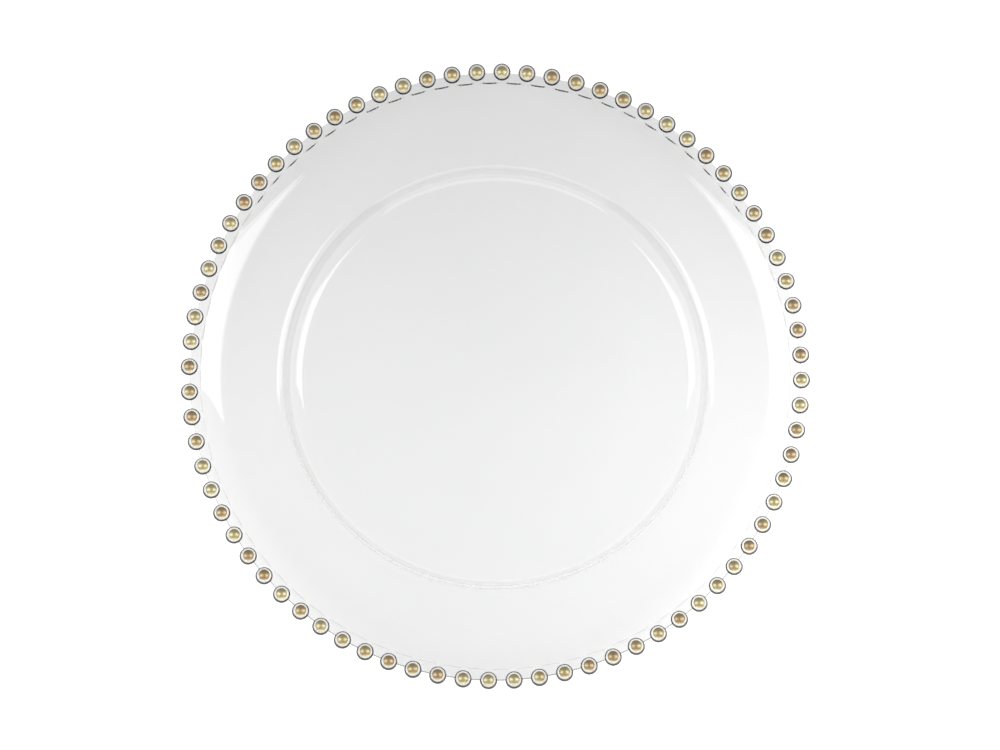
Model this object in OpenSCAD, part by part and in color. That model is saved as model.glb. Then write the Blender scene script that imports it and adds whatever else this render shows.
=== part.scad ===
// Round pressed-glass charger plate with a row of gilt-capped glass beads on its edge.
// Millimetres. The plate stands on the plane Z = 0, and the Z axis runs through its middle.

/* [Overall] */
// Diameter over the outside of the beads
plate_d = 330; // [300:1:350]
// Thickness of the glass, everywhere but in the ledge
glass_t = 3.6; // [3:0.1:4.4]

/* [Well] */
// Diameter at the foot of the well's wall, before its corner is rounded
well_d = 210; // [190:1:224]
// Radial width of the well's wall
wall_run = 7; // [6.5:0.1:10]
// Height of the well's wall
wall_rise = 10.6; // [9:0.1:12]
// Radius of the hollow corner between the well's floor and its wall
well_fillet = 9; // [8:0.5:14]
// Radius of the shoulder where the wall turns out into the rim
shoulder_fillet = 8.5; // [6:0.5:10]

/* [Rim] */
// Height that the broad rim gains from the shoulder to the lip
rim_rise = 2.6; // [1.5:0.1:4]
// Radial width of the upturned lip
lip_run = 8.2; // [6:0.1:10]
// Height of the upturned lip
lip_rise = 4.3; // [3.5:0.1:6]
// Share of the lip's slope that the hollow bend from the rim takes up
lip_bend = 0.87; // [0.3:0.01:0.9]

/* [Ledge] */
// Width of the flat ledge, from its step to the outer edge
ledge_w = 5.6; // [4.8:0.1:7]
// Thickness of the ledge
ledge_t = 4.2; // [4:0.1:5]
// Width of the flat under the ledge, before its corner is rounded
under_w = 5.4; // [4.6:0.1:6]
// Height of the small step from the lip up to the ledge
step_h = 1.7; // [1:0.1:2.4]
// Radial width of that step
step_run = 0.6; // [0.3:0.05:0.9]
// How far the outer edge draws in from its foot to its top
edge_draft = 0.6; // [0.2:0.1:0.9]

/* [Beads] */
// Number of beads around the edge
bead_n = 76; // [48:1:80]
// Diameter of a bead
bead_d = 9.1; // [7.5:0.1:9.6]
// Diameter of the gilt cap on a bead
cap_d = 5.6; // [3:0.1:6.5]
// Angle of the first bead from the X axis, in degrees
first_bead_a = -1.25; // [-2.4:0.05:2.4]

/* [Hidden] */

// Beads
bead_r = bead_d / 2;
bead_pitch_a = 360 / bead_n;
// Height of a cap's flat underside above the bead's centre
cap_z = sqrt(pow(bead_r, 2) - pow(cap_d / 2, 2));

// Radii of the section's corners, from the middle outwards
well_r = well_d / 2;
shoulder_r = well_r + wall_run;
edge_r = plate_d / 2 - bead_r;
ledge_r = edge_r - ledge_w;
step_r = ledge_r - step_run;
lip_r = step_r - lip_run;

// Heights of the section's corners, on the upper face
shoulder_h = glass_t + wall_rise;
lip_h = shoulder_h + rim_rise;
step_foot_h = lip_h + lip_rise;
ledge_h = step_foot_h + step_h;
// The ledge's height if it were as thin as the rest, and the inner end of its flat underside
plain_ledge_h = ledge_h - (ledge_t - glass_t);
under_r = edge_r - under_w;
// Radius of the bend under the ledge
ledge_under_fillet = 1;

// Degrees of turn in one straight piece of a rounded corner
arc_step = 6;

// A path is a list of [radius, height, corner rounding]. Each corner turns less than half a circle.
upper_path = [
    [0, glass_t, 0],
    [well_r, glass_t, well_fillet],
    [shoulder_r, shoulder_h, shoulder_fillet],
    [lip_r, lip_h, bend_r([step_r, step_foot_h])],
    [step_r, step_foot_h, 0],
    [ledge_r, ledge_h, 0],
    [edge_r - edge_draft, ledge_h, 0]
];
// A like path without the step: the lower face lies one glass thickness below it.
plain_path = [
    [0, glass_t, 0],
    [well_r, glass_t, well_fillet + glass_t],
    [shoulder_r, shoulder_h, shoulder_fillet - glass_t],
    [lip_r, lip_h, bend_r([under_r, plain_ledge_h])],
    [under_r, plain_ledge_h, ledge_under_fillet],
    [edge_r, plain_ledge_h, 0]
];
lower_path = lowered(plain_path, glass_t);

// Radius and height of a path's point
function point(p) = [p.x, p.y];
// Unit vector from a to b
function heading(a, b) = (point(b) - point(a)) / norm(point(b) - point(a));
// Unit vector that points down from a run of the path
function downward(a, b) = [heading(a, b).y, -heading(a, b).x];
// Signed turn of the path at corner b
function turn_at(a, b, c) =
    let (u = heading(a, b), v = heading(b, c))
    atan2(u.x * v.y - u.y * v.x, u * v);

// Radius of the hollow bend from the rim into a lip that rises to the given point
function bend_r(lip_top) =
    lip_bend * norm(lip_top - [lip_r, lip_h])
    / tan(turn_at([shoulder_r, shoulder_h], [lip_r, lip_h], lip_top) / 2);

// Corner b moved down by t, so that both runs that meet there move down by t
function lowered_corner(a, b, c, t) =
    let (m = downward(a, b), n = downward(b, c))
    point(b) + t * (m + n) / (1 + m * n);
// A path that runs t below another
function lowered(path, t) = [
    for (i = [0 : len(path) - 1])
        let (
            first = i == 0,
            last = i == len(path) - 1,
            b = path[i],
            p = first || last ? [b.x, b.y - t] : lowered_corner(path[i - 1], b, path[i + 1], t)
        )
        [p.x, p.y, b.z]
];

// Points along the arc that rounds corner b
function arc_points(a, b, c) =
    let (
        turn = turn_at(a, b, c),
        u = heading(a, b),
        side = sign(turn) * [-u.y, u.x],
        start = point(b) - u * b.z * tan(abs(turn) / 2),
        steps = ceil(abs(turn) / arc_step)
    )
    [
        for (i = [0 : steps])
            let (w = abs(turn) * i / steps)
            start + b.z * (u * sin(w) + side * (1 - cos(w)))
    ];
// The points of a path with its corners rounded
function rounded(path) = [
    for (i = [0 : len(path) - 1])
        each (
            path[i].z > 0 ? arc_points(path[i - 1], path[i], path[i + 1]) : [point(path[i])]
        )
];
// A list from its last item to its first
function reversed(list) = [for (i = [len(list) - 1 : -1 : 0]) list[i]];

// Its children, once at each bead's centre
module at_each_bead() {
    for (i = [0 : bead_n - 1])
        rotate(first_bead_a + i * bead_pitch_a)
            translate([edge_r, 0, ledge_h])
                children();
}

// Everything above the flat underside of a cap
module cap_space() {
    translate([0, 0, cap_z])
        cylinder(r = bead_r, h = bead_r, $fn = 48);
}

// The pressed dish, with a round socket in its edge for each bead
module plate_body() {
    color([0.86, 0.89, 0.89])
        difference() {
            rotate_extrude($fn = 360)
                polygon(concat(rounded(upper_path), reversed(rounded(lower_path))));
            at_each_bead() sphere(r = bead_r, $fn = 48);
        }
}

// Clear balls, flat on top where the caps sit
module glass_beads() {
    color([0.93, 0.95, 0.95])
        at_each_bead()
            difference() {
                sphere(r = bead_r, $fn = 48);
                cap_space();
            }
}

// Gilt caps that complete the balls
module gilt_caps() {
    color([0.72, 0.62, 0.38])
        at_each_bead()
            intersection() {
                sphere(r = bead_r, $fn = 48);
                cap_space();
            }
}

plate_body();
glass_beads();
gilt_caps();
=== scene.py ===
"""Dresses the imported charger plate: pressed glass with a row of gilt-capped beads on its edge."""

import math
import random

import bpy
from bpy.props import (
    FloatProperty,
    FloatVectorProperty,
    IntProperty,
    PointerProperty,
)
from bpy.types import Operator, Panel, PropertyGroup
from mathutils import Matrix, Vector


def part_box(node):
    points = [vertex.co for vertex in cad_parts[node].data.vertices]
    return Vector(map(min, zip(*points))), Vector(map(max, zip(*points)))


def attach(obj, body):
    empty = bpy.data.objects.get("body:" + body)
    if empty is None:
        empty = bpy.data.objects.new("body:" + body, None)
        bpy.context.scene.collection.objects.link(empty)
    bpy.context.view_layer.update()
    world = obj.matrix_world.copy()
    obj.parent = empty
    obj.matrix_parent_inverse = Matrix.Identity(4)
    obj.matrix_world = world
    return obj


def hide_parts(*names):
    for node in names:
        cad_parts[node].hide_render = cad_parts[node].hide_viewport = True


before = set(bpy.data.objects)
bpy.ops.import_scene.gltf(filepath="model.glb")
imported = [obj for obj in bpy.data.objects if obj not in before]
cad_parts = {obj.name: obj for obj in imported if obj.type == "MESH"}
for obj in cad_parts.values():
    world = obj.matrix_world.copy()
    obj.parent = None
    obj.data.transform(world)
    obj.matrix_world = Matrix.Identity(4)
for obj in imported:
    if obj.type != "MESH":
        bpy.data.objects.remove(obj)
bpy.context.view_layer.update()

bl_info = {
    "name": "Charger plate",
    "version": (1, 0, 0),
    "blender": (4, 5, 0),
    "location": "3D View > Sidebar > Charger plate",
    "description": "Makes a glass charger plate with a beaded, gilt-capped edge and its stage",
    "category": "Object",
}

MM = 0.001
WHITE = (1.0, 1.0, 1.0)

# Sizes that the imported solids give
LEDGE_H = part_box("plate_body")[1].z
BEADS_LOW, BEADS_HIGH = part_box("glass_beads")
CAP_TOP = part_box("gilt_caps")[1].z
FIRST_BEAD = math.radians(-1.25)
BEAD_R = LEDGE_H - BEADS_LOW.z
EDGE_R = (BEADS_HIGH.x - BEAD_R) / math.cos(FIRST_BEAD)

# The photograph's frame, and where the ring of gilt caps lies in it, in pixels
FRAME_W, FRAME_H = 1000, 750
RING_X, RING_Y, RING_PX = 495.3, 375.4, 307.0

# Attributes of the meshes' points, which the glass materials read
UNDERSIDE = "underside"  # 1 on the plate's lower face, 0 on its upper face and its edge
CROWN = "crown"  # height on a bead: 1 at its top, 0 around its middle and -1 at its foot


def length(name, description, default):
    """A size in metres."""
    return FloatProperty(
        name=name, description=description, default=default, min=0.0, unit="LENGTH", precision=5
    )


def colour(name, description, default):
    """A colour without alpha."""
    return FloatVectorProperty(
        name=name, description=description, default=default, subtype="COLOR", min=0.0, max=1.0
    )


def level(name, description, default):
    """A brightness."""
    return FloatProperty(name=name, description=description, default=default, min=0.0)


class PlateSizes(PropertyGroup):
    """Sizes of the plate, as its solids have them, and of its scallops and rounded edges."""

    glass_t: length("Glass thickness", "Thickness of the pressed glass", 3.6 * MM)
    well_d: length("Well diameter", "Diameter at the foot of the well's wall", 210 * MM)
    wall_run: length("Wall width", "Radial width of the well's wall", 7 * MM)
    wall_rise: length("Wall height", "Height of the well's wall", 10.6 * MM)
    well_fillet: length("Well corner", "Radius of the hollow corner of the well", 9 * MM)
    shoulder_fillet: length("Shoulder", "Radius where the wall turns into the rim", 8.5 * MM)
    lip_run: length("Lip width", "Radial width of the upturned lip", 8.2 * MM)
    lip_rise: length("Lip height", "Height of the upturned lip", 4.3 * MM)
    lip_bend: FloatProperty(
        name="Lip bend",
        description="Share of the lip's slope that the hollow bend from the rim takes up",
        default=0.87,
        min=0.1,
        max=0.95,
    )
    ledge_t: length("Ledge thickness", "Thickness of the ledge", 4.2 * MM)
    ledge_w: length("Ledge width", "Width of the flat ledge that carries the beads", 5.6 * MM)
    under_w: length("Underside width", "Width of the flat under the ledge", 5.4 * MM)
    step_h: length("Step height", "Height of the step up to the ledge", 1.7 * MM)
    step_run: length("Step width", "Radial width of that step", 0.6 * MM)
    edge_draft: length("Edge draft", "How far the outer edge draws in towards its top", 0.6 * MM)
    scallop: length("Scallop depth", "How far the step bows out towards each bead", 0.5 * MM)
    edge_round: length("Edge rounding", "Radius of the fire-polished edges", 0.5 * MM)


class BeadSizes(PropertyGroup):
    """Sizes of the beads and their caps."""

    count: IntProperty(name="Beads", description="Number of beads on the edge", default=76, min=3)
    first: FloatProperty(
        name="First bead",
        description="Angle of the first bead from the X axis",
        default=FIRST_BEAD,
        subtype="ANGLE",
    )
    sink: length("Sink", "How deep a bead's face lies in its socket's face", 0.04 * MM)
    cap_d: length("Cap diameter", "Diameter of the gilt cap", 5.6 * MM)
    cap_lean: FloatProperty(
        name="Cap lean",
        description="How far the caps lean towards the middle of the plate",
        default=math.radians(6.0),
        subtype="ANGLE",
    )
    gilt_t: length("Gilt thickness", "How far the gilt stands proud of the bead", 0.05 * MM)


class Finish(PropertyGroup):
    """Colours of the finishes, and of the shade painted on the glass."""

    glass: colour("Glass", "Tint of the clear glass", (0.935, 0.937, 0.936))
    glass_deep: colour("Deep glass", "Deeper tint of its faint clouds", (0.925, 0.928, 0.927))
    # Painted shade, not a tint of the glass: the near-black outlines of the beads and the dark
    # upright glass
    painted_edge_shade: colour("Glass edge", "Tint of upright glass and bead outlines", (0.001,) * 3)
    # Painted shade: the dark strokes along the steep step up to the ledge
    painted_step_shade: colour("Glass step", "Tint of the steep step up to the ledge", (0.6, 0.6, 0.6))
    # Painted shade: a dark line under the wall of the well
    painted_wall_shade: colour("Glass wall", "Tint under the wall of the well", (0.8, 0.8, 0.8))
    glass_shade: colour("Glass shade", "Light that a face of the glass lets by", (0.97,) * 3)
    bead: colour("Bead glass", "Tint of the beads' clear glass", (0.86, 0.85, 0.80))
    gilt: colour("Gilt", "Main colour of the gilding", (0.70, 0.58, 0.32))
    gilt_warm: colour("Warm gilt", "Colour of the darker, coppery caps", (0.63, 0.47, 0.27))
    gilt_pale: colour("Pale gilt", "Colour of the paler, greenish caps", (0.76, 0.67, 0.39))


class Stage(PropertyGroup):
    """The camera, the table and the light."""

    elevation: FloatProperty(
        name="Camera height",
        description="Angle of the camera above the table",
        default=math.radians(83.5),
        subtype="ANGLE",
    )
    distance: length("Camera distance", "From the camera to the plate", 1.9)
    softbox_left: level("Left softbox", "Brightness of the left softbox", 1.8)
    softbox_right: level("Right softbox", "Brightness of the right softbox", 2.0)
    fill_left: level("Left fill", "Brightness of the small lamp on the left", 4.3)
    fill_right: level("Right fill", "Brightness of the small lamp on the right", 6.5)
    card: level("Front card", "Brightness of the card that the gilding mirrors", 1.3)
    room: level("Room", "Brightness of the room around the table", 0.12)
    # Painted shade: colour of the dark card behind the plate that glass and metal show
    flag: colour("Flag", "Colour of the dark card behind the plate", (0.02, 0.02, 0.02))
    floor: colour("Table", "Colour of the table", (0.8, 0.8, 0.8))


# Outline of the plate's section


def turn_at(a, b, c):
    """Signed turn of a path at corner b."""
    u, v = b - a, c - b
    return math.atan2(u.x * v.y - u.y * v.x, u.dot(v))


def arc(a, b, c, radius, steps):
    """Points along the arc that rounds corner b."""
    turn = turn_at(a, b, c)
    along = (b - a).normalized()
    side = math.copysign(1.0, turn) * Vector((-along.y, along.x))
    start = b - along * radius * math.tan(abs(turn) / 2)
    angles = [abs(turn) * i / steps for i in range(steps + 1)]
    return [start + radius * (along * math.sin(w) + side * (1 - math.cos(w))) for w in angles]


def rounded(corners):
    """Points of a path whose corners are (point, rounding, steps); an end has no rounding."""
    points = []
    for i, (point, radius, steps) in enumerate(corners):
        if radius > 0:
            points += arc(corners[i - 1][0], point, corners[i + 1][0], radius, steps)
        else:
            points.append(point)
    return points


def lowered(a, b, c, depth):
    """Corner b moved down so that both runs that meet there lie lower by depth."""
    m, n = ((q - p).normalized() for p, q in ((a, b), (b, c)))
    m, n = Vector((m.y, -m.x)), Vector((n.y, -n.x))
    return b + depth * (m + n) / (1 + m.dot(n))


class Section:
    """The plate's section at any angle. Only the step and the sockets change around the plate."""

    # Straight pieces in each rounded corner, on both faces, above and below
    WELL_STEPS, LIP_STEPS = 9, 9
    SHOULDER_STEPS, STEP_FOOT_STEPS, LEDGE_STEPS = 8, 2, 3
    UNDER_SHOULDER_STEPS, UNDER_LEDGE_STEPS = 6, 4
    # Points down the outer edge, and pieces from a bead's middle to its side and on to half a gap
    WALL_POINTS = 6
    SOCKET_STEPS, GAP_STEPS = 7, 3
    # How much of a scallop the foot of the step follows, so that the step softens at a bead
    FOOT_SHARE = 0.4

    def __init__(self, plate, beads):
        self.plate = plate
        t = plate.glass_t
        well_r = plate.well_d / 2
        self.ledge_r = EDGE_R - plate.ledge_w
        self.step_r = self.ledge_r - plate.step_run
        step_foot_h = LEDGE_H - plate.step_h
        self.lip = Vector((self.step_r - plate.lip_run, step_foot_h - plate.lip_rise))
        self.lip_slope = plate.lip_rise / plate.lip_run
        self.well = Vector((well_r, t))
        self.shoulder = Vector((well_r + plate.wall_run, t + plate.wall_rise))
        self.lip_fillet = self.bend_r(Vector((self.step_r, step_foot_h)))
        self.pitch = math.tau / beads.count
        self.socket_r = BEAD_R - beads.sink
        self.under = self.lower_points()

    def bend_r(self, lip_top):
        """Radius of the hollow bend from the rim into a lip that rises to the given point."""
        turn = abs(turn_at(self.shoulder, self.lip, lip_top))
        return self.plate.lip_bend * (lip_top - self.lip).length / math.tan(turn / 2)

    def upper_points(self, angle):
        """From the floor's edge to the end of the ledge, at an angle from the nearest bead."""
        plate, t = self.plate, self.plate.glass_t
        nearness = 1 - abs(angle) / (self.pitch / 2)
        shift = plate.scallop * nearness**2
        step_r = self.step_r + shift * self.FOOT_SHARE
        foot = Vector((step_r, self.lip.y + (step_r - self.lip.x) * self.lip_slope))
        ledge = Vector((self.ledge_r + shift, LEDGE_H))
        end = Vector((self.wall_points(angle)[0].x, LEDGE_H))
        fine = plate.edge_round / 2
        return rounded([
            (Vector((0, t)), 0, 0),
            (self.well, plate.well_fillet, self.WELL_STEPS),
            (self.shoulder, plate.shoulder_fillet, self.SHOULDER_STEPS),
            (self.lip, self.lip_fillet, self.LIP_STEPS),
            (foot, fine, self.STEP_FOOT_STEPS),
            (ledge, fine, self.LEDGE_STEPS),
            (end, 0, 0),
        ])[1:-1]

    def wall_points(self, angle):
        """Down the outer edge: a rounded edge between beads, and a socket's hollow at a bead."""
        t, draft = self.plate.ledge_t, self.plate.edge_draft
        aside, across = EDGE_R * math.sin(angle), EDGE_R * math.cos(angle)
        if abs(aside) >= self.socket_r:
            top, foot = Vector((EDGE_R - draft, LEDGE_H)), Vector((EDGE_R, LEDGE_H - t))
            steps = self.WALL_POINTS // 2 - 1
            return rounded([
                (Vector((0, top.y)), 0, 0),
                (top, self.plate.edge_round, steps),
                (foot, self.plate.edge_round, steps),
                (Vector((0, foot.y)), 0, 0),
            ])[1:-1]
        points = []
        for i in range(self.WALL_POINTS):
            depth = t * i / (self.WALL_POINTS - 1)
            reach = math.sqrt(max(0.0, self.socket_r**2 - aside**2 - depth**2))
            outside = EDGE_R - draft * (1 - depth / t)
            points.append(Vector((min(across - reach, outside), LEDGE_H - depth)))
        return points

    def lower_points(self):
        """From under the ledge back to the base's edge."""
        plate, t = self.plate, self.plate.glass_t
        under = LEDGE_H - plate.ledge_t
        lip_end = Vector((EDGE_R - plate.under_w, under + t))
        # The path one glass thickness above the lower face
        start, end = Vector((0, t)), Vector((EDGE_R, under + t))
        path = [start, self.well, self.shoulder, self.lip, lip_end, end]
        well, shoulder, lip, ledge = (lowered(*path[i : i + 3], t) for i in range(len(path) - 2))
        return rounded([
            (Vector((0, 0)), 0, 0),
            (well, plate.well_fillet + t, self.WELL_STEPS),
            (shoulder, plate.shoulder_fillet - t, self.UNDER_SHOULDER_STEPS),
            (lip, self.bend_r(lip_end), self.LIP_STEPS),
            (ledge, 2 * plate.edge_round, self.UNDER_LEDGE_STEPS),
            (Vector((EDGE_R, under)), 0, 0),
        ])[-2:0:-1]

    def points(self, angle):
        """The whole section from the floor's edge, over the ledge, back to the base's edge."""
        return self.upper_points(angle) + self.wall_points(angle) + self.under

    def angles(self):
        """Angles from a bead's centre over one pitch, closer where the socket's side turns away."""
        reach = math.asin(self.socket_r / EDGE_R)
        turns = [math.pi / 2 * i / self.SOCKET_STEPS for i in range(self.SOCKET_STEPS + 1)]
        half = [reach * math.sin(turn) for turn in turns]
        gap = self.pitch / 2 - reach
        half += [reach + gap * i / self.GAP_STEPS for i in range(1, self.GAP_STEPS)]
        return [-self.pitch / 2] + [-a for a in half[:0:-1]] + half


def bead_places(beads):
    """The angle of each bead around the plate."""
    return [beads.first + math.tau * i / beads.count for i in range(beads.count)]


def bead_spots(beads):
    """The matrix of each bead: its centre on the edge, with X pointing outwards."""
    to_edge = Matrix.Translation((EDGE_R, 0, LEDGE_H))
    return [Matrix.Rotation(place, 4, "Z") @ to_edge for place in bead_places(beads)]


# Meshes


def add_piece(name, vertices, faces, crisp=None):
    """A smooth-shaded object in the row frame; edges that turn by more than crisp stay sharp."""
    mesh = bpy.data.meshes.new(name)
    mesh.from_pydata(vertices, [], faces)
    mesh.validate()
    mesh.shade_smooth()
    if crisp is not None:
        mesh.set_sharp_from_angle(angle=crisp)
    piece = bpy.data.objects.new(name, mesh)
    bpy.context.scene.collection.objects.link(piece)
    # The broad faces keep their own direction, and the small roundings take up the turn
    flats = piece.modifiers.new("broad faces", "WEIGHTED_NORMAL")
    flats.keep_sharp = True
    return piece


def lathe(columns):
    """Vertices and faces of a closed body from its sections, lists of points around the Z axis."""
    rows, count = len(columns[0]), len(columns)
    vertices = [point for column in columns for point in column]
    faces = []
    for i in range(count):
        here, there = i * rows, (i + 1) % count * rows
        for j in range(rows - 1):
            faces.append((here + j + 1, there + j + 1, there + j, here + j))
    for row in (0, rows - 1):
        pole = len(vertices)
        vertices.append(Vector((0, 0, columns[0][row].z)))
        for i in range(count):
            pair = i * rows + row, (i + 1) % count * rows + row
            faces.append((pole, *(reversed(pair) if row else pair)))
    return vertices, faces


def on_ball(radius, down, around):
    """The point of a ball at an angle down from its top and an angle around it."""
    flat = math.sin(down)
    return radius * Vector((flat * math.cos(around), flat * math.sin(around), math.cos(down)))


def dome(radius, reach, rings, segments):
    """Rings of points on a ball, down to the angle that reach gives for each direction."""
    around = [math.tau * k / segments for k in range(segments)]
    return [
        [on_ball(radius, reach(u) * i / rings, u) for u in around] for i in range(1, rings + 1)
    ]


def shell(rings, top, bottom):
    """Vertices and faces of a closed shell: a top point, rings of points and a bottom point."""
    segments = len(rings[0])
    vertices = [top, *(p for ring in rings for p in ring), bottom]
    faces, last = [], len(vertices) - 1
    for k in range(segments):
        after = (k + 1) % segments
        faces.append((0, 1 + k, 1 + after))
        for i in range(len(rings) - 1):
            low, high = 1 + i * segments, 1 + (i + 1) * segments
            faces.append((low + k, high + k, high + after, low + after))
        end = 1 + (len(rings) - 1) * segments
        faces.append((end + k, last, end + after))
    return vertices, faces


def repeated(shapes):
    """Joins (vertices, faces, matrix) shapes into one list of each."""
    vertices, faces = [], []
    for own, own_faces, matrix in shapes:
        base = len(vertices)
        vertices += [matrix @ p for p in own]
        faces += [tuple(base + i for i in face) for face in own_faces]
    return vertices, faces


def mark_points(piece, name, values):
    """Gives each point of a piece's mesh a value that its material reads by name."""
    piece.data.attributes.new(name, "FLOAT", "POINT").data.foreach_set("value", values)


# Materials


class Nodes:
    """The emptied node tree of a material or a world, with short calls to fill it."""

    def __init__(self, owner, output="ShaderNodeOutputMaterial"):
        owner.use_nodes = True
        self.owner, self.tree = owner, owner.node_tree
        self.tree.nodes.clear()
        self.out = self.add(output)

    def add(self, kind, **values):
        """A new node, with values for its inputs and its settings."""
        node = self.tree.nodes.new(kind)
        for name, value in values.items():
            if name in node.inputs:
                node.inputs[name].default_value = value
            else:
                setattr(node, name, value)
        return node

    def join(self, output, socket):
        self.tree.links.new(output, socket)

    def noise(self, scale, detail=2.0):
        """Soft noise in the object's own space, about 0.5."""
        where = self.add("ShaderNodeTexCoord")
        noise = self.add("ShaderNodeTexNoise", Scale=scale, Detail=detail)
        self.join(where.outputs["Object"], noise.inputs["Vector"])
        return noise.outputs["Fac"]

    def mark(self, name):
        """The value that mark_points gave the mesh."""
        return self.add("ShaderNodeAttribute", attribute_name=name).outputs["Fac"]

    def ramp(self, factor, *stops):
        """A colour that runs through (place, colour) stops as a factor grows."""
        ramp = self.add("ShaderNodeValToRGB")
        elements = ramp.color_ramp.elements
        while len(elements) < len(stops):
            elements.new(1.0)
        for element, (place, tint) in zip(elements, stops):
            element.position = place
            element.color = (*tint, 1.0)
        self.join(factor, ramp.inputs["Fac"])
        return ramp.outputs["Color"]

    def mixed(self, blend, first, second):
        """Two colours, mixed in full by the way that blend names."""
        mix = self.add("ShaderNodeMix", data_type="RGBA", blend_type=blend)
        mix.inputs["Factor"].default_value = 1.0
        first_input, second_input = (i for i in mix.inputs if i.type == "RGBA")
        self.join(first, first_input)
        self.join(second, second_input)
        return next(o for o in mix.outputs if o.type == "RGBA")

    def math(self, operation, *values):
        """One step of arithmetic on numbers and on other nodes' outputs."""
        node = self.add("ShaderNodeMath", operation=operation)
        for value, socket in zip(values, node.inputs):
            if isinstance(value, float):
                socket.default_value = value
            else:
                self.join(value, socket)
        return node.outputs[0]

    def seen(self, plain, by_camera, in_glass):
        """A strength that rises where the camera sees it, straight or in glass and metal."""
        path = self.add("ShaderNodeLightPath").outputs
        bent = self.math("MAXIMUM", path["Is Glossy Ray"], path["Is Transmission Ray"])
        strength = self.math("MULTIPLY_ADD", bent, in_glass, plain)
        return self.math("MULTIPLY_ADD", path["Is Camera Ray"], by_camera, strength)

    def flatness(self):
        """0 where the surface stands upright and 1 where it lies flat."""
        where = self.add("ShaderNodeTexCoord")
        parts = self.add("ShaderNodeSeparateXYZ")
        self.join(where.outputs["Normal"], parts.inputs["Vector"])
        return self.math("ABSOLUTE", parts.outputs["Z"])

    def by_distance(self, start, end, near, far):
        """A value that runs from near to far between two distances from the object's origin."""
        where = self.add("ShaderNodeTexCoord")
        away = self.add("ShaderNodeVectorMath", operation="LENGTH")
        self.join(where.outputs["Object"], away.inputs[0])
        run = self.add("ShaderNodeMapRange")
        self.join(away.outputs["Value"], run.inputs["Value"])
        ends = {"From Min": start, "From Max": end, "To Min": near, "To Max": far}
        for name, value in ends.items():
            run.inputs[name].default_value = value
        return run.outputs["Result"]

    def bump(self, height, strength, distance):
        """Normals of a surface that a height roughens."""
        bump = self.add("ShaderNodeBump", Strength=strength, Distance=distance)
        self.join(height, bump.inputs["Height"])
        return bump.outputs["Normal"]


GLASS_IOR = 1.5


def clear_glass(n):
    """The shader of clear, polished glass."""
    glass = n.add("ShaderNodeBsdfPrincipled", IOR=GLASS_IOR, Roughness=0.0)
    glass.inputs["Transmission Weight"].default_value = 1.0
    return glass


def light_through(n, glass, tint):
    """Lets the light of lamps and of matt surfaces straight through glass, a little dimmed."""
    path = n.add("ShaderNodeLightPath")
    clear = n.add("ShaderNodeBsdfTransparent", Color=(*tint, 1.0))
    shader = glass.outputs["BSDF"]
    for rays in ("Is Shadow Ray", "Is Diffuse Ray"):
        mix = n.add("ShaderNodeMixShader")
        n.join(path.outputs[rays], mix.inputs[0])
        n.join(shader, mix.inputs[1])
        n.join(clear.outputs["BSDF"], mix.inputs[2])
        shader = mix.outputs["Shader"]
    n.join(shader, n.out.inputs["Surface"])


# The faint clouds of tint in the pressed glass, and the ripple that pressing leaves
CLOUD_SCALE = 18.0
CLOUD_DEEP, CLOUD_CLEAR = 0.35, 0.65
RIPPLE_SCALE, RIPPLE_DETAIL = 14.0, 1.0
RIPPLE_STRENGTH, RIPPLE_H = 0.006, 2 * MM
# How flat the glass lies where the painted shade of its edge, its step and the wall's underside
# ends
EDGE_FLAT, STEP_FLAT, PLAIN_FLAT = 0.16, 0.34, 0.46
WALL_FLAT, CORNER_FLAT = 0.56, 0.68


def pressed_glass(finish):
    """Clear soda glass with a faint ripple, and painted shade where it is steep and under the
    well's wall.
    """
    n = Nodes(bpy.data.materials.new("pressed_glass"))
    glass = clear_glass(n)
    clouds = n.noise(CLOUD_SCALE)
    body = n.ramp(clouds, (CLOUD_DEEP, finish.glass_deep), (CLOUD_CLEAR, finish.glass))
    # Painted shade: near black where the glass stands upright, grey on the steep step up to the
    # ledge
    edge = n.ramp(
        n.flatness(),
        (EDGE_FLAT, finish.painted_edge_shade),
        (STEP_FLAT, finish.painted_step_shade),
        (PLAIN_FLAT, WHITE),
    )
    # Painted shade under the well's wall: darker on the lower face where it is steep
    above = n.math("SUBTRACT", 1.0, n.mark(UNDERSIDE))
    wall = n.ramp(
        n.math("MAXIMUM", n.flatness(), above),
        (WALL_FLAT, finish.painted_wall_shade),
        (CORNER_FLAT, WHITE),
    )
    # The painted shade of the edge, the step and the wall, laid over the glass's own tint
    tint = n.mixed("MULTIPLY", edge, wall)
    n.join(n.mixed("MULTIPLY", body, tint), glass.inputs["Base Color"])
    ripple = n.noise(RIPPLE_SCALE, RIPPLE_DETAIL)
    n.join(n.bump(ripple, RIPPLE_STRENGTH, RIPPLE_H), glass.inputs["Normal"])
    light_through(n, glass, finish.glass_shade)
    return n.owner


# How far a bead's face turns away where its painted dark outline starts and where it is full
OUTLINE_START, OUTLINE_FULL = 0.15, 0.27
# Heights on a bead where the painted dark band on its flank starts, is full, thins out and ends
FLANK_START, FLANK_FULL, FLANK_THINS, FLANK_END = 0.0, 0.03, 0.52, 0.64


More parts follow.
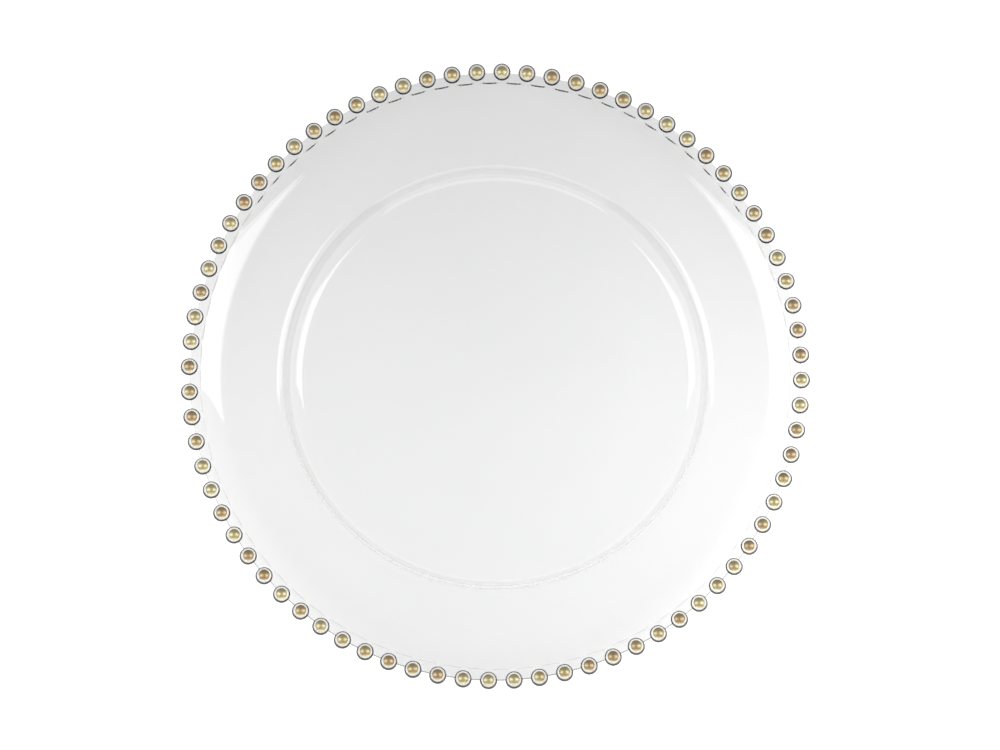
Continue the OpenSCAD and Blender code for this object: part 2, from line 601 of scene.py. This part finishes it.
def bead_glass(finish):
    """Clear glass balls with painted shade towards their outline and on a band of their flank."""
    n = Nodes(bpy.data.materials.new("bead_glass"))
    glass = clear_glass(n)
    facing = n.add("ShaderNodeLayerWeight", Blend=0.5).outputs["Facing"]
    outline = n.ramp(facing, (OUTLINE_START, finish.bead), (OUTLINE_FULL, finish.painted_edge_shade))
    flank = n.ramp(
        n.mark(CROWN),
        (FLANK_START, finish.bead),
        (FLANK_FULL, finish.painted_edge_shade),
        (FLANK_THINS, finish.painted_edge_shade),
        (FLANK_END, finish.bead),
    )
    n.join(n.mixed("LIGHTEN", outline, flank), glass.inputs["Base Color"])
    light_through(n, glass, finish.glass_shade)
    return n.owner


GILT_ROUGHNESS = 0.4
# The change of tone from cap to cap, and the fine grain of the gilding
TONE_SCALE, TONE_DETAIL = 60.0, 0.0
TONE_WARM, TONE_MAIN, TONE_PALE = 0.38, 0.5, 0.62
GRAIN_SCALE, GRAIN_STRENGTH, GRAIN_H = 900.0, 0.15, 0.1 * MM


def pale_gilt(finish):
    """Bright gilding that runs from coppery to pale gold around the plate."""
    n = Nodes(bpy.data.materials.new("pale_gilt"))
    gilt = n.add("ShaderNodeBsdfPrincipled", Metallic=1.0, Roughness=GILT_ROUGHNESS)
    tone = n.ramp(
        n.noise(TONE_SCALE, TONE_DETAIL),
        (TONE_WARM, finish.gilt_warm),
        (TONE_MAIN, finish.gilt),
        (TONE_PALE, finish.gilt_pale),
    )
    n.join(tone, gilt.inputs["Base Color"])
    n.join(n.bump(n.noise(GRAIN_SCALE), GRAIN_STRENGTH, GRAIN_H), gilt.inputs["Normal"])
    n.join(gilt.outputs["BSDF"], n.out.inputs["Surface"])
    return n.owner


# Operators


class CHARGER_OT_body(Operator):
    """Makes the pressed glass body, with its scalloped ledge and a socket for each bead."""

    bl_idname = "charger.body"
    bl_label = "Plate body"

    CRISP = math.radians(40)

    def execute(self, context):
        scene = context.scene
        section = Section(scene.plate_sizes, scene.bead_sizes)
        columns = []
        profiles = [(angle, section.points(angle)) for angle in section.angles()]
        for place in bead_places(scene.bead_sizes):
            for angle, profile in profiles:
                turn = Matrix.Rotation(place + angle, 3, "Z")
                columns.append([turn @ Vector((p.x, 0, p.y)) for p in profile])
        body = add_piece("plate_body_glass", *lathe(columns), crisp=self.CRISP)
        below = len(section.under)
        column_marks = [0.0] * (len(columns[0]) - below) + [1.0] * below
        pole_marks = [0.0, 1.0]
        mark_points(body, UNDERSIDE, column_marks * len(columns) + pole_marks)
        body.data.materials.append(pressed_glass(scene.plate_finish))
        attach(body, "root")
        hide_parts("plate_body")
        return {"FINISHED"}


class CHARGER_OT_beads(Operator):
    """Makes the clear glass beads along the edge."""

    bl_idname = "charger.beads"
    bl_label = "Glass beads"

    RINGS, SEGMENTS = 24, 40

    def execute(self, context):
        scene = context.scene
        rings = dome(BEAD_R, lambda u: math.pi, self.RINGS, self.SEGMENTS)[:-1]
        ball = shell(rings, Vector((0, 0, BEAD_R)), Vector((0, 0, -BEAD_R)))
        lean = Matrix.Rotation(-scene.bead_sizes.cap_lean, 4, "Y")
        shapes = [(*ball, spot @ lean) for spot in bead_spots(scene.bead_sizes)]
        beads = add_piece("bead_row_glass", *repeated(shapes))
        mark_points(beads, CROWN, [p.z / BEAD_R for p in ball[0]] * len(shapes))
        beads.data.materials.append(bead_glass(scene.plate_finish))
        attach(beads, "root")
        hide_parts("glass_beads")
        return {"FINISHED"}


class CHARGER_OT_caps(Operator):
    """Makes the gilt caps, each a little uneven, on top of the beads."""

    bl_idname = "charger.caps"
    bl_label = "Gilt caps"

    RINGS, SEGMENTS = 9, 40
    CRISP = math.radians(60)
    SEED = 7
    WAVES = (2, 3, 5)  # around a cap's brim
    UNEVEN = 0.02  # most that a wave of one turn would add to a cap's reach
    STRAY = math.radians(1.5)
    INNER_REACH = 1.01  # how much further a cap's inner face reaches, inside the bead

    def brim(self, draw, angle):
        """How far down its bead a cap reaches in each direction: about angle, in small waves."""
        waves = []
        for k in self.WAVES:
            waves.append((k, draw.uniform(0, math.tau), draw.uniform(0, self.UNEVEN / k)))
        return lambda u: angle * (1 + sum(size * math.sin(k * u + at) for k, at, size in waves))

    def execute(self, context):
        scene = context.scene
        sizes = scene.bead_sizes
        outer, inner = BEAD_R + sizes.gilt_t, BEAD_R - sizes.gilt_t / 2
        brim_angle = math.asin(sizes.cap_d / 2 / BEAD_R)
        draw = random.Random(self.SEED)
        shapes = []
        for spot in bead_spots(sizes):
            reach = self.brim(draw, brim_angle)
            above = dome(outer, reach, self.RINGS, self.SEGMENTS)
            below = dome(inner, lambda u: self.INNER_REACH * reach(u), self.RINGS, self.SEGMENTS)
            cap = shell(above + below[::-1], Vector((0, 0, outer)), Vector((0, 0, inner)))
            lean = Matrix.Rotation(draw.uniform(-self.STRAY, self.STRAY), 4, "X")
            inwards = draw.uniform(-self.STRAY, self.STRAY) - sizes.cap_lean
            lean @= Matrix.Rotation(inwards, 4, "Y")
            shapes.append((*cap, spot @ lean))
        caps = add_piece("bead_cap_gilt", *repeated(shapes), crisp=self.CRISP)
        caps.data.materials.append(pale_gilt(scene.plate_finish))
        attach(caps, "root")
        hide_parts("gilt_caps")
        return {"FINISHED"}


class CHARGER_OT_stage(Operator):
    """Sets up the camera, the pale table, a painted shade card on it, the lamps and the room."""

    bl_idname = "charger.stage"
    bl_label = "Stage"

    SENSOR_MM = 36.0
    FLOOR_SIZE = 12.0
    FLOOR_CORNERS = ((-1, -1), (1, -1), (1, 1), (-1, 1))
    FLOOR_GAP = 0.2 * MM
    # The table's glow, near the plate and far from it, and the distances where it changes
    FLOOR_GLOW = 0.45, 1.0
    FLOOR_GLOW_IN_GLASS = 0.11, 0.5
    FLOOR_FADE = 0.5, 1.5
    # Where the painted shade card lies behind the plate, and its pieces
    PAINTED_SHADE_CARD_R = 0.184, 0.2
    PAINTED_SHADE_CARD_HALF = math.radians(55)
    PAINTED_SHADE_CARD_STEPS = 40
    LAMP_WATTS = 4  # for a square metre, at a brightness of 1
    SOFTBOX_SIZE = 0.45, 0.78
    SOFTBOX_DISTANCE = 1.1
    SOFTBOX_TOWARDS = Vector((0.606, -0.032, 0.793))
    FILL_SIZE = 0.3, 0.3
    FILL_AT = Vector((0.42, -0.15, 0.28))
    CARD_SIZE = 1.6, 0.6
    CARD_AT = Vector((0, -1.05, 0.43))
    ROOM_GLOW_IN_METAL = 0.2

    def camera(self, scene):
        """The photograph's view, with the ring of caps where the photograph has it."""
        stage = scene.plate_stage
        data = bpy.data.cameras.new("camera")
        camera = bpy.data.objects.new("camera", data)
        scene.collection.objects.link(camera)
        back = Vector((0, -math.cos(stage.elevation), math.sin(stage.elevation)))
        up = Vector((0, back.z, -back.y))
        ring = Vector((0, 0, CAP_TOP))
        data.sensor_width = self.SENSOR_MM
        data.lens = data.sensor_width * RING_PX / FRAME_W * stage.distance / EDGE_R
        pixel = EDGE_R / RING_PX
        # The near half of the ring looks larger, so its middle in the picture lies lower
        drop = RING_PX * EDGE_R * back.z * -back.y / stage.distance
        camera.location = ring + back * stage.distance
        camera.location.x += (FRAME_W / 2 - RING_X) * pixel
        camera.location += up * (RING_Y - FRAME_H / 2 - drop) * pixel
        camera.rotation_mode = "QUATERNION"
        camera.rotation_quaternion = (-back).to_track_quat("-Z", "Y")
        scene.camera = camera

    def lay(self, scene, name, vertices, faces):
        """A flat stage piece, and the nodes of its material."""
        mesh = bpy.data.meshes.new(name)
        mesh.from_pydata(vertices, [], faces)
        piece = bpy.data.objects.new(name, mesh)
        scene.collection.objects.link(piece)
        n = Nodes(bpy.data.materials.new(name))
        mesh.materials.append(n.owner)
        return piece, n

    def floor(self, scene):
        """A pale, matt table that glows to the camera, up to white far from the plate."""
        half = self.FLOOR_SIZE / 2
        corners = [(x * half, y * half, -self.FLOOR_GAP) for x, y in self.FLOOR_CORNERS]
        table, n = self.lay(scene, "table", corners, [(0, 1, 2, 3)])
        matt = n.add("ShaderNodeBsdfDiffuse", Color=(*scene.plate_stage.floor, 1.0))
        glow = n.add("ShaderNodeEmission")
        by_camera = n.by_distance(*self.FLOOR_FADE, *self.FLOOR_GLOW)
        in_glass = n.by_distance(*self.FLOOR_FADE, *self.FLOOR_GLOW_IN_GLASS)
        n.join(n.seen(0.0, by_camera, in_glass), glow.inputs["Strength"])
        both = n.add("ShaderNodeAddShader")
        n.join(matt.outputs["BSDF"], both.inputs[0])
        n.join(glow.outputs["Emission"], both.inputs[1])
        n.join(both.outputs["Shader"], n.out.inputs["Surface"])

    def flag(self, scene):
        """Painted shade: a dark card behind the plate that stands in for shade there and shows only
        in glass and metal.
        """
        height = -self.FLOOR_GAP / 2
        vertices = []
        for i in range(self.PAINTED_SHADE_CARD_STEPS + 1):
            angle = math.pi / 2 + self.PAINTED_SHADE_CARD_HALF * (2 * i / self.PAINTED_SHADE_CARD_STEPS - 1)
            vertices += [(r * math.cos(angle), r * math.sin(angle), height) for r in self.PAINTED_SHADE_CARD_R]
        faces = [(2 * i, 2 * i + 1, 2 * i + 3, 2 * i + 2) for i in range(self.PAINTED_SHADE_CARD_STEPS)]
        flag, n = self.lay(scene, "flag", vertices, faces)
        flag.visible_camera = flag.visible_shadow = flag.visible_diffuse = False
        matt = n.add("ShaderNodeBsdfDiffuse", Color=(*scene.plate_stage.flag, 1.0))
        n.join(matt.outputs["BSDF"], n.out.inputs["Surface"])

    def lamp(self, scene, name, place, size, brightness):
        """A rectangular lamp that faces the middle of the table."""
        data = bpy.data.lights.new(name, "AREA")
        data.shape = "RECTANGLE"
        data.size, data.size_y = size
        data.energy = self.LAMP_WATTS * brightness * size[0] * size[1]
        lamp = bpy.data.objects.new(name, data)
        scene.collection.objects.link(lamp)
        lamp.location = place
        lamp.rotation_mode = "QUATERNION"
        lamp.rotation_quaternion = place.to_track_quat("Z", "Y")
        return lamp

    def lamps(self, scene):
        """Two softboxes, a fill on each side for matt surfaces, and a card for the gilding."""
        stage = scene.plate_stage
        to_left = Matrix.Diagonal((-1, 1, 1))
        right = self.SOFTBOX_TOWARDS.normalized() * self.SOFTBOX_DISTANCE
        left = to_left @ right
        self.lamp(scene, "softbox_right", right, self.SOFTBOX_SIZE, stage.softbox_right)
        self.lamp(scene, "softbox_left", left, self.SOFTBOX_SIZE, stage.softbox_left)
        right = self.FILL_AT
        left = to_left @ right
        for fill in (
            self.lamp(scene, "fill_right", right, self.FILL_SIZE, stage.fill_right),
            self.lamp(scene, "fill_left", left, self.FILL_SIZE, stage.fill_left),
        ):
            fill.visible_glossy = fill.visible_transmission = False
        card = self.lamp(scene, "front_card", self.CARD_AT, self.CARD_SIZE, stage.card)
        card.visible_diffuse = card.visible_transmission = False

    def room(self, scene):
        """A dim room that is white to the camera."""
        world = bpy.data.worlds.new("room")
        scene.world = world
        n = Nodes(world, "ShaderNodeOutputWorld")
        air = n.add("ShaderNodeBackground", Color=(*WHITE, 1.0))
        dim = scene.plate_stage.room
        n.join(n.seen(dim, 1.0 - dim, self.ROOM_GLOW_IN_METAL), air.inputs["Strength"])
        n.join(air.outputs["Background"], n.out.inputs["Surface"])

    def execute(self, context):
        scene = context.scene
        scene.view_settings.view_transform = "Standard"
        self.camera(scene)
        self.floor(scene)
        self.flag(scene)
        self.lamps(scene)
        self.room(scene)
        return {"FINISHED"}


class CHARGER_PT_parts(Panel):
    """Lists the pieces of the plate and its stage."""

    bl_idname = "CHARGER_PT_parts"
    bl_label = "Charger plate"
    bl_space_type = "VIEW_3D"
    bl_region_type = "UI"
    bl_category = "Charger plate"

    def draw(self, context):
        for operator in OPERATORS:
            self.layout.operator(operator.bl_idname)


GROUPS = {
    "plate_sizes": PlateSizes,
    "bead_sizes": BeadSizes,
    "plate_finish": Finish,
    "plate_stage": Stage,
}
OPERATORS = (CHARGER_OT_stage, CHARGER_OT_body, CHARGER_OT_beads, CHARGER_OT_caps)


def register():
    for name, group in GROUPS.items():
        bpy.utils.register_class(group)
        setattr(bpy.types.Scene, name, PointerProperty(type=group))
    for operator in OPERATORS:
        bpy.utils.register_class(operator)
    bpy.utils.register_class(CHARGER_PT_parts)


def unregister():
    bpy.utils.unregister_class(CHARGER_PT_parts)
    for operator in reversed(OPERATORS):
        bpy.utils.unregister_class(operator)
    for name, group in reversed(GROUPS.items()):
        delattr(bpy.types.Scene, name)
        bpy.utils.unregister_class(group)


def main():
    register()
    bpy.ops.charger.stage()
    bpy.ops.charger.body()
    bpy.ops.charger.beads()
    bpy.ops.charger.caps()


if __name__ == "__main__":
    main()
